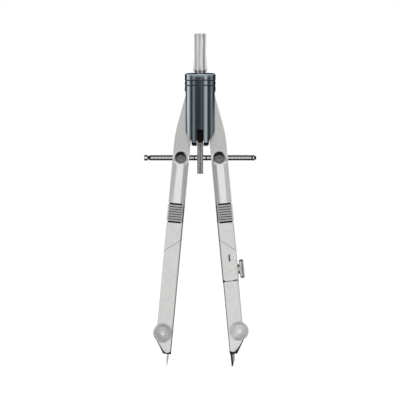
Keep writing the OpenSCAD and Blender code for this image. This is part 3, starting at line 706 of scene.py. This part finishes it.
def brass():
    """Brass of the slide block and the washers."""
    look = Finish("brass")
    where = look.around()
    cloud = look.grain(where, 1.2, 3.0)
    fine = look.grain(where, 10.0, 2.0)
    colour = look.blend(cloud, (0.44, 0.32, 0.14, 1), (0.62, 0.48, 0.24, 1))
    return look.metal(colour, 0.28 + 0.14 * fine, 0.95, look.relief(fine, 0.003))


def graphite():
    """Drawing lead: black, with a painted sheen in grey on the right side of its axis."""
    look = Finish("graphite")
    way = way_of("lead_slide")
    way = way if way.z > 0 else -way
    where = end_of("lead", way)
    x, _, z = look.parts(look.around(where))
    side = x * way.z - z * way.x
    line = look.grain(look.around(where, turned_frame(way), (1, 1, 14)), 5.0, 2.0)
    speck = look.grain(look.around(), 9.0, 2.0)
    # Painted sheen: grey on the right side, which also gets a little metal
    shine = look.clear_of(side, -0.2, 0.0)
    colour = look.blend(line, (0.004, 0.004, 0.005, 1), (0.012, 0.012, 0.013, 1))
    colour = look.blend(0.9 * shine, colour, grey(0.46))
    return look.metal(colour, 0.5 + 0.14 * speck, 0.2 * shine,
                      look.relief(line + speck, 0.004), Specular_IOR_Level=0.08)


# Painted reflection round the spindle and the thumb screw's stem: darkness by the turn about them
# from the front, in degrees; a bright streak comes to the front at rest and at either end of the
# spindle's turns
SPINDLE_PAINTED_REFLECTION = [(-180, 0), (-172, 0), (-151, 1), (-132, 1), (-111, 0), (-95, 0), (-74, 1),
                   (-29, 1), (-8, 0), (8, 0), (29, 1), (74, 1), (95, 0), (111, 0), (132, 1),
                   (151, 1), (172, 0), (180, 0)]
STEM_PAINTED_REFLECTION = [(-180, 0), (-160, 0), (-145, 1), (-35, 1), (-20, 0), (20, 0), (35, 1), (145, 1),
                (160, 0), (180, 0)]
# Painted shade in the spindle's thread roots, inside this radius
THREAD_ROOT_SHADE_R = 1.34

leg_nickel = {
    "left": satin_nickel("satin_nickel_left", place_of("left_trunnion_turn"), (0, LEAN, 0), 1,
                         NEEDLE_CONE_R),
    "right": satin_nickel("satin_nickel_right", place_of("right_trunnion_turn"), (0, -LEAN, 0),
                          -1, LEAD_CONE_R),
}
petrol = petrol_anodising()
chrome = polished_handle()
blued = blued_steel()
plain_steel = bright_steel("turned_steel", 0.52, 0.3)
needle_steel = bright_steel("needle_steel", 0.7, 0.25, 0.8)
thread_steel = bright_steel("thread_steel", 0.92, 0.03, 0.98, 0.0002,
                            ("spindle_turn", SPINDLE_PAINTED_REFLECTION, THREAD_ROOT_SHADE_R))
stem_steel = bright_steel("stem_steel", 0.9, 0.1, 0.9, 0.0005,
                          ("insert_screw_turn", STEM_PAINTED_REFLECTION, 0))
# Near-black for the slab that is painted shade in the insert's joint
shade_black = bright_steel("blackened_steel", 0.012, 0.55, 0.3)
brass_look = brass()

# Head: the turned sleeve, cut for the arms, the bar and the drawn-in sides

GROOVE_W, GROOVE_D, GROOVE_EDGE, GROOVES = 0.45, 0.18, 0.07, (142.8, 140.25)
CROWN_R, FOOT_BEVEL, YOKE_OUT = 0.8, 1.0, 0.5
STUD_R, REST_GAP = 2.0, 0.02
WAIST_R, WAIST_H, FOOT_X, CORNER = 11.0, 120.7, 4.3, 0.6
SLOT_W, SLOT_TOP, NOTCH_TOP = 3.3, 118.3, 113.0
CHEEK_Y = 2.44
ARM_LEAN, OPEN_MOST, ARM_CLEAR = 15.5, 20.0, 3.7
WINDOW_W, WINDOW_L = 60, 80
BLOCK = 20


def sleeve_profile():
    """Outline of the sleeve's wall, from its bore round its foot, its side and its crown."""
    bore_r = HEAD_R - SLEEVE_WALL
    foot = HEAD_FOOT + YOKE_OUT
    profile = [(bore_r, up(foot)), (HEAD_R - FOOT_BEVEL, up(foot)), (HEAD_R, up(foot + FOOT_BEVEL))]
    for height in reversed(GROOVES):
        low, high = up(height - GROOVE_W / 2), up(height + GROOVE_W / 2)
        profile += [(HEAD_R, low - GROOVE_EDGE), (HEAD_R - GROOVE_EDGE, low),
                    (HEAD_R - GROOVE_D, low), (HEAD_R - GROOVE_D, high),
                    (HEAD_R - GROOVE_EDGE, high), (HEAD_R, high + GROOVE_EDGE)]
    profile += arc(HEAD_R - CROWN_R, up(HEAD_TOP - CROWN_R), CROWN_R, 0, 90, 6)
    return profile + [(STUD_R + REST_GAP, up(HEAD_TOP)),
                      (STUD_R + REST_GAP, up(HEAD_TOP - TOP_WALL)),
                      (bore_r, up(HEAD_TOP - TOP_WALL))]


def flank_outline():
    """What is cut off the sleeve beside one drawn-in side, for the right side."""
    waist = arc(HEAD_R - WAIST_R, up(WAIST_H), WAIST_R, 0, -60, 40)
    return [(x, z) for x, z in waist if x > FOOT_X] + [
        (FOOT_X, up(HEAD_FOOT) + CORNER), (FOOT_X - CORNER, up(HEAD_FOOT)),
        (FOOT_X - CORNER, up(HEAD_FOOT) - 1), (3 * HEAD_R, up(HEAD_FOOT) - 1),
        (3 * HEAD_R, up(WAIST_H))]


def arm_window(sign):
    """Room for the arm on one side, -1 or 1, swung out as far as it goes."""
    turn = math.radians(ARM_LEAN + OPEN_MOST)
    away, down = WINDOW_W / 2 - ARM_CLEAR, 1 - WINDOW_L / 2
    x = PIVOT_X - away * math.cos(turn) - down * math.sin(turn)
    z = up(PIVOT_H) - away * math.sin(turn) + down * math.cos(turn)
    return block((WINDOW_W, 2 * CHEEK_Y, WINDOW_L), (sign * x, 0, z), -sign * turn)


tools = []
for sign in (-1, 1):
    tools.append(slab("flank", [(sign * x, z) for x, z in flank_outline()], 3 * HEAD_R))
    tools.append(arm_window(sign))
for sign, top in ((-1, SLOT_TOP), (1, NOTCH_TOP)):
    tools.append(block((SLOT_W, BLOCK, BLOCK), (0, sign * BLOCK / 2, up(top) - BLOCK / 2)))
sleeve = turned("sleeve", sleeve_profile(), SLEEVE_STEPS, True)
cut_away(sleeve, *tools)
ease_edges(sleeve, EASE, CUT_EASE_FROM)
smooth(sleeve)
worked(sleeve, "WEIGHTED_NORMAL", keep_sharp=True)
finish(sleeve, "head", "petrol_casing", petrol, "head_sleeve")

yoke = eased_copy("head_yoke", "yoke", 0.1)
finish(yoke, "head", "dark_steel", blued, "head_yoke")

# Handle: neck, plain band, grip and top flange, all turned, and the stud in the head

BAND_R, HANDLE_R, NECK_R, FLARE_L = 3.45, 3.05, 2.75, 2.2
FLANGE_T, FLANGE_R, FLANGE_EDGE = 1.2, 3.35, 0.3
TOP_DISH_R, TOP_DISH_D = 0.75, 0.12
STUD_FOOT, STUD_EDGE = 141.4, 0.2
band_1, flange_0 = BAND_0 + BAND_L, HANDLE_TOP - FLANGE_T
handle_profile = [
    (0, up(HEAD_TOP) + REST_GAP), (NECK_R, up(HEAD_TOP) + REST_GAP),
    (NECK_R, up(BAND_0) - 0.3), (BAND_R - 0.12, up(BAND_0) - 0.08),
    (BAND_R, up(BAND_0) + 0.06), (BAND_R, up(band_1) - 0.1),
    (BAND_R - 0.04, up(band_1) + 0.06), (HANDLE_R, up(band_1) + FLARE_L),
    (HANDLE_R, up(flange_0) - 0.3), (HANDLE_R - 0.12, up(flange_0) - 0.16),
    (HANDLE_R - 0.1, up(flange_0) - 0.04), (FLANGE_R - 0.08, up(flange_0) + 0.04),
    (FLANGE_R, up(flange_0) + 0.14),
    *arc(FLANGE_R - FLANGE_EDGE, up(HANDLE_TOP) - FLANGE_EDGE, FLANGE_EDGE, 0, 90, 4),
    (TOP_DISH_R + 0.15, up(HANDLE_TOP)), (TOP_DISH_R, up(HANDLE_TOP) - TOP_DISH_D),
    (0, up(HANDLE_TOP) - TOP_DISH_D)]
handle = turned("handle_turned", handle_profile)
smooth(handle)
stud = turned("handle_stud", [
    (0, up(STUD_FOOT)), (STUD_R - STUD_EDGE, up(STUD_FOOT)),
    (STUD_R, up(STUD_FOOT + STUD_EDGE)), (STUD_R, up(HEAD_TOP) + 0.2),
    (0, up(HEAD_TOP) + 0.2)], SMALL_STEPS)
smooth(stud)
handle = joined(handle, stud)
finish(handle, "head", "polished_steel", chrome, "handle")

# Legs, each with a web under its trunnion nut: a crescent plate before the spindle and one behind

WEB_IN, WEB_OUT, WEB_FRONT, WEB_BACK = 3.18, 4.25, 2.15, 1.5
CRESCENT = arc(0, 0, WEB_IN, -150, -30, 24) + arc(0, 0, WEB_OUT, -30, -150, 24)


def web_plate(name, sign):
    """One crescent plate about the leg's axis, before the spindle (-1) or behind it (1)."""
    plate = slab(name, CRESCENT, WEB_FRONT - WEB_BACK)
    plate.location = (0, sign * (WEB_FRONT + WEB_BACK) / 2 * MM, 0)
    settle(plate)
    return plate


for side_name in ("left", "right"):
    leg = eased_copy(f"{side_name}_leg", f"{side_name}_leg_plated", EASE)
    finish(leg, f"{side_name}_leg", "satin_nickel", leg_nickel[side_name], f"{side_name}_leg")
for side_name, lean in (("left", LEAN), ("right", -LEAN)):
    name = f"{side_name}_leg_web"
    web = joined(web_plate(name, -1), web_plate(f"{name}_back", 1))
    web.rotation_euler = (0, lean, 0)
    web.location = place_of(f"{side_name}_trunnion_turn")
    settle(web)
    finish(web, f"{side_name}_leg", "satin_nickel", leg_nickel[side_name])

# Lead insert, with a black slab as painted shade in the gap above it and a plated wedge at its
# outer corner

SHADE_SLAB_T, WEDGE_T = 4.8, 5.1
SHADE_SLAB_OUTLINE = [(-3.9, -0.6), (-1.0, -0.27), (2.45, -0.27), (4.04, -0.62), (4.04, 0.85),
           (2.45, -0.05), (-1.0, -0.05), (-3.9, 0.58)]
WEDGE = [(-3.95, -0.2), (-1.9, -0.12), (-3.95, 0.36)]


def in_right_leg(points):
    """Points given from the leg's axis inwards and up from its joint, as x and z."""
    place = place_of("right_trunnion_turn") / MM
    cos, sin = math.cos(LEAN), math.sin(LEAN)
    return [(place.x - x * cos - (z - JOINT_DOWN) * sin,
             place.z - x * sin + (z - JOINT_DOWN) * cos) for x, z in points]


insert = eased_copy("lead_insert", "lead_insert_plated", EASE)
finish(insert, "lead_insert", "satin_nickel", leg_nickel["right"], "lead_insert")
# Painted shade: a black slab in the joint's gap
shade_slab = slab("joint_shade_slab", in_right_leg(SHADE_SLAB_OUTLINE), SHADE_SLAB_T)
finish(shade_slab, "lead_insert", "dark_steel", shade_black)
wedge = slab("joint_wedge", in_right_leg(WEDGE), WEDGE_T)
finish(wedge, "lead_insert", "satin_nickel", leg_nickel["right"])

bar = eased_copy("guide_bar", "guide_bar_stamped", EASE)
finish(bar, "head", "stamped_steel", stamped_steel(), "guide_bar")

# Spindle: a thread of each hand, with a plain journal in the middle

THREAD_R, ROOT_R, PITCH, CREST, FLANK = 1.375, 1.27, 0.7, 0.42, 0.12
THREAD_STEPS = 24
JOURNAL, JOURNAL_R = 2.6, 1.35
SPINDLE_LOW, SPINDLE_HIGH = -25.4, 26.2
CORE_R, END_R = ROOT_R + 0.004, 1.3


def thread(name, start, length, hand):
    """A closed thread about +Z: its outline is one pitch long, and each turn screws it on."""
    v_shape = [(ROOT_R, 0), (THREAD_R, FLANK), (THREAD_R, FLANK + CREST),
               (ROOT_R, 2 * FLANK + CREST), (ROOT_R, PITCH)]
    piece = outline(name, [(r * MM, 0, (h + start) * MM) for r, h in v_shape])
    done()
    worked(piece, "SCREW", axis="Z", angle=hand * FULL_TURN, screw_offset=PITCH * MM,
           iterations=int(length / PITCH) - 1, steps=THREAD_STEPS, render_steps=THREAD_STEPS,
           use_merge_vertices=True, merge_threshold=WELD)
    editing(piece)
    weld()
    bpy.ops.mesh.select_all(action="DESELECT")
    bpy.ops.mesh.select_non_manifold()
    bpy.ops.mesh.edge_face_add()
    face_out()
    smooth(piece, 25)
    return piece


core_profile = [
    (0, SPINDLE_LOW - 2.2), (0.75, SPINDLE_LOW - 2.2), (0.75, SPINDLE_LOW - 0.9),
    (0.95, SPINDLE_LOW - 0.9), (0.95, SPINDLE_LOW), (END_R - 0.1, SPINDLE_LOW),
    (END_R, SPINDLE_LOW + 0.1), (END_R, SPINDLE_LOW + 0.35), (CORE_R, SPINDLE_LOW + 0.5),
    (CORE_R, -JOURNAL - 0.2), (JOURNAL_R, -JOURNAL), (JOURNAL_R, JOURNAL),
    (CORE_R, JOURNAL + 0.2), (CORE_R, SPINDLE_HIGH - 0.5), (END_R, SPINDLE_HIGH - 0.35),
    (END_R, SPINDLE_HIGH - 0.1), (END_R - 0.1, SPINDLE_HIGH), (1.0, SPINDLE_HIGH),
    (1.0, SPINDLE_HIGH + 1.6), (0.8, SPINDLE_HIGH + 1.8), (0, SPINDLE_HIGH + 1.8)]
spindle = turned("spindle_threaded", core_profile, SMALL_STEPS)
smooth(spindle)
spindle = joined(
    spindle,
    thread("left_thread", SPINDLE_LOW + 0.4, -JOURNAL - SPINDLE_LOW - 0.3, -1),
    thread("right_thread", JOURNAL + 0.1, SPINDLE_HIGH - JOURNAL - 0.4, 1))
set_at(spindle, place_of("spindle_turn"), TO_RIGHT)
finish(spindle, "spindle", "polished_steel", thread_steel, "spindle")

# Pieces that are CAD nodes with their edges eased

for node in ("spindle_button", "spindle_collar"):
    finish(eased_copy(node, f"{node}_turned", EASE), "spindle", "polished_steel", thread_steel,
           node)
for body in ("left_trunnion", "right_trunnion"):
    look = dished_nut(f"dished_{body.split('_')[0]}", place_of(f"{body}_turn"))
    finish(eased_copy(body, f"{body}_dished", 0.07), body, "dark_steel", look, body)
    finish(eased_copy(f"{body}_ring", f"{body}_ring_turned", 0.08), body, "turned_steel",
           plain_steel, f"{body}_ring")
finish(eased_copy("slide_block", "slide_block_brass", 0.06), "slide_block", "brass", brass_look,
       "slide_block")
for name, body, tone in (("needle", "left_leg", 0.77), ("lead", "lead_insert", 0.92)):
    light, dark = (tone, tone * 0.99, tone * 0.99), (tone * 0.82, tone * 0.81, tone * 0.81)
    look = turned_nickel(f"{name}_knob_nickel", f"{name}_knob_turn", light, dark, 0.8, spot=True)
    finish(eased_copy(f"{name}_knob", f"{name}_knob_turned", 0.05), f"{name}_knob",
           "satin_knob", look, f"{name}_knob")
    finish(eased_copy(f"{name}_clamp_nut", f"{name}_clamp_nut_turned", 0.08), body,
           "turned_steel", plain_steel, f"{name}_clamp_nut")

# Thumb screw of the insert: a notched disc on a stem

THUMB_R, THUMB_T, THUMB_EDGE, NOTCHES, NOTCH_SHARE = 4.65, 2.2, 0.5, 60, 0.955
FACE_D = 0.2
STEM_R, COLLAR_L, COLLAR_R, COLLAR_GAP = 1.25, 0.8, 2.5, 0.1


def on_a_notch(point):
    """Whether a point of the disc's rim is at every second step round it."""
    r, a = math.hypot(point.x, point.y), math.atan2(point.y, point.x)
    odd = round(a / FULL_TURN * 2 * NOTCHES) % 2 == 1
    return odd and r > (THUMB_R - 0.1) * MM


thumb = turned("thumb_screw", [
    (0, 0), (THUMB_R - THUMB_EDGE, 0), (THUMB_R, THUMB_EDGE), (THUMB_R, THUMB_T - THUMB_EDGE),
    (THUMB_R - THUMB_EDGE, THUMB_T), (THUMB_R - 1.1, THUMB_T), (THUMB_R - 1.3, THUMB_T - FACE_D),
    (0, THUMB_T - FACE_D)], 2 * NOTCHES)
choose_points(thumb, on_a_notch)
bpy.ops.transform.resize(value=(NOTCH_SHARE, NOTCH_SHARE, 1), center_override=(0, 0, 0))
done()
smooth(thumb, 20)
stem = turned("thumb_stem", [
    (0, 0.4), (COLLAR_R - 0.25, 0.4), (COLLAR_R - 0.25, -0.15), (COLLAR_R, -0.3),
    (COLLAR_R, -COLLAR_L + COLLAR_GAP + 0.1), (COLLAR_R - 0.1, -COLLAR_L + COLLAR_GAP),
    (STEM_R, -COLLAR_L + 0.1), (STEM_R, -COLLAR_L - 2), (0, -COLLAR_L - 2.1)], SMALL_STEPS)
smooth(stem)
for piece in (thumb, stem):
    set_at(piece, place_of("insert_screw_turn"), way_of("insert_screw_turn"))
finish(stem, "insert_screw", "knurled_steel", stem_steel)
finish(thumb, "insert_screw", "knurled_steel",
       turned_nickel("thumb_nickel", "insert_screw_turn", (0.72, 0.72, 0.71), (0.50, 0.50, 0.50),
                     0.7, banded=True), "insert_screw")

finish(eased_copy("needle", "needle_ground", 0), "needle", "needle_steel", needle_steel, "needle")
finish(eased_copy("lead", "lead_cut", 0.04), "lead", "graphite", graphite(), "lead")

for node in ("handle_pin", "pivot_pins", "bar_pin"):
    dress(node, plain_steel)
dress("pivot_washers", brass_look)

# Studio: what polished metal sees round it, by the turn to the right of the front, in degrees.
# The head, the handle and the rest see bands of their own, as they see them at other heights.
# The head's are five strip lamps in the dark.

HEAD_LAMPS = strips(0.05, (-126, -111, -101, -76, 1.2), (-65, -53, -46, -34, 0.36),
                    (0, 8, 14, 22, 0.14), (22, 39, 48, 60, 0.78), (77, 94, 97, 118, 0.38))
HEAD_BANDS = [(-180, 0.02), (-127, 0.02), *HEAD_LAMPS, (125, 0.02), (180, 0.02)]
HANDLE_BANDS = [(-180, 0.95), (-135, 0.9), (-100, 0.7), (0, 0.85), (100, 0.7), (135, 0.9),
                (180, 0.95)]
FRONT_BANDS = [(-180, 0.9), (-130, 0.9), (-100, 1.0), (-80, 0.8), (-60, 0.4), (-36, 0.32),
               (-22, 0.8), (-12, 1.1), (12, 1.1), (22, 0.8), (36, 0.34), (60, 0.32), (80, 0.5),
               (100, 0.8), (130, 0.9), (180, 0.9)]
# Heights above the horizon, in degrees, where one part of the studio goes over to the next
FRONT_TO_HEAD, HEAD_TO_HANDLE = (-1.6, -0.8), (3.5, 3.8)
HANDLE_TO_FRONT, TO_CEILING = (7, 10), (48, 66)
CEILING, AMBIENT = 0.05, 0.62

FLOOR_H, FLOOR_W = -0.15045, 4
scene = bpy.context.scene
scene.view_settings.view_transform = "Standard"


def floor_look():
    """Pale floor: white to the camera, the studio's bands in metal, and it keeps the shadow."""
    look = Tree(bpy.data.materials.new("pale_floor"))
    ray = look.outputs_of("ShaderNodeLightPath")
    seen = look.sum_of("MAXIMUM", ray["Is Camera Ray"], ray["Is Transmission Ray"])
    x, y, _ = look.parts(look.node("ShaderNodeTexCoord", output="Object"))
    glow = look.node("ShaderNodeEmission", None, {"Color": WHITE, "Strength": 0.93})
    paper = look.node("ShaderNodeBsdfDiffuse", None, {"Color": grey(0.16)})
    white = look.node("ShaderNodeAddShader", None, {0: glow, 1: paper})
    mirrored = look.node("ShaderNodeEmission", None, {
        "Color": look.bands(x, y, FRONT_BANDS), "Strength": 1.0})
    pale = look.node("ShaderNodeBsdfDiffuse", None, {"Color": grey(0.7)})
    rest = look.node("ShaderNodeMixShader", None, {0: ray["Is Glossy Ray"], 1: pale, 2: mirrored})
    shown = look.node("ShaderNodeMixShader", None, {0: seen, 1: rest, 2: white})
    look.node("ShaderNodeOutputMaterial", None, {"Surface": shown})
    return look.owner


def studio():
    """White behind the object, soft and even for matt surfaces, banded for polished ones."""
    world = bpy.data.worlds.new("studio")
    scene.world = world
    world.cycles.sampling_method = "NONE"
    look = Tree(world)
    ray = look.outputs_of("ShaderNodeLightPath")
    x, y, z = look.parts(look.node("ShaderNodeTexCoord", output="Generated"))
    rise = look.sum_of("ARCSINE", z) * math.degrees(1)
    front, head, handle_side = (
        look.bands(x, y, stops) for stops in (FRONT_BANDS, HEAD_BANDS, HANDLE_BANDS))
    mirror = look.blend(look.clear_of(rise, *FRONT_TO_HEAD), front, head)
    mirror = look.blend(look.clear_of(rise, *HEAD_TO_HANDLE), mirror, handle_side)
    mirror = look.blend(look.clear_of(rise, *HANDLE_TO_FRONT), mirror, front)
    mirror = look.blend(look.clear_of(look.size_of(rise), *TO_CEILING), mirror, grey(CEILING))
    ambient = look.blend(ray["Is Glossy Ray"], grey(AMBIENT), mirror)
    colour = look.blend(ray["Is Camera Ray"], ambient, WHITE)
    light = look.node("ShaderNodeBackground", None, {"Color": colour, "Strength": 1.0})
    look.node("ShaderNodeOutputWorld", None, {"Surface": light})


def lamp(name, place, size, power):
    """A soft square lamp that looks at the compass's middle."""
    data = bpy.data.lights.new(name, "AREA")
    data.shape, data.size, data.energy = "SQUARE", size, power
    made = bpy.data.objects.new(name, data)
    scene.collection.objects.link(made)
    made.location = place
    made.rotation_mode = "QUATERNION"
    made.rotation_quaternion = (MIDDLE - Vector(place)).to_track_quat("-Z", "Y")
    made.visible_glossy = False


MIDDLE = Vector((0, 0, -0.067))
bpy.ops.object.select_all(action="DESELECT")
bpy.ops.mesh.primitive_plane_add(size=FLOOR_W, location=(0, 0, FLOOR_H))
floor = bpy.context.active_object
floor.name = "floor"
settle(floor)
floor.data.materials.append(floor_look())
studio()
lamp("key", (-0.75, -1.0, 0.7), 0.7, 5.0)
lamp("fill", (0.9, -0.9, 0.25), 0.8, 2.6)
lamp("rear", (0.3, 1.2, 0.7), 0.8, 3.0)

SENSOR, LENS, CAMERA_X, CAMERA_Y = 36, 216, -0.0001, -1.2
camera_data = bpy.data.cameras.new("camera")
camera_data.sensor_width, camera_data.lens = SENSOR, LENS
camera = bpy.data.objects.new("camera", camera_data)
scene.collection.objects.link(camera)
camera.location = (CAMERA_X, CAMERA_Y, MIDDLE.z)
camera.rotation_euler = (math.pi / 2, 0, 0)
scene.camera = camera
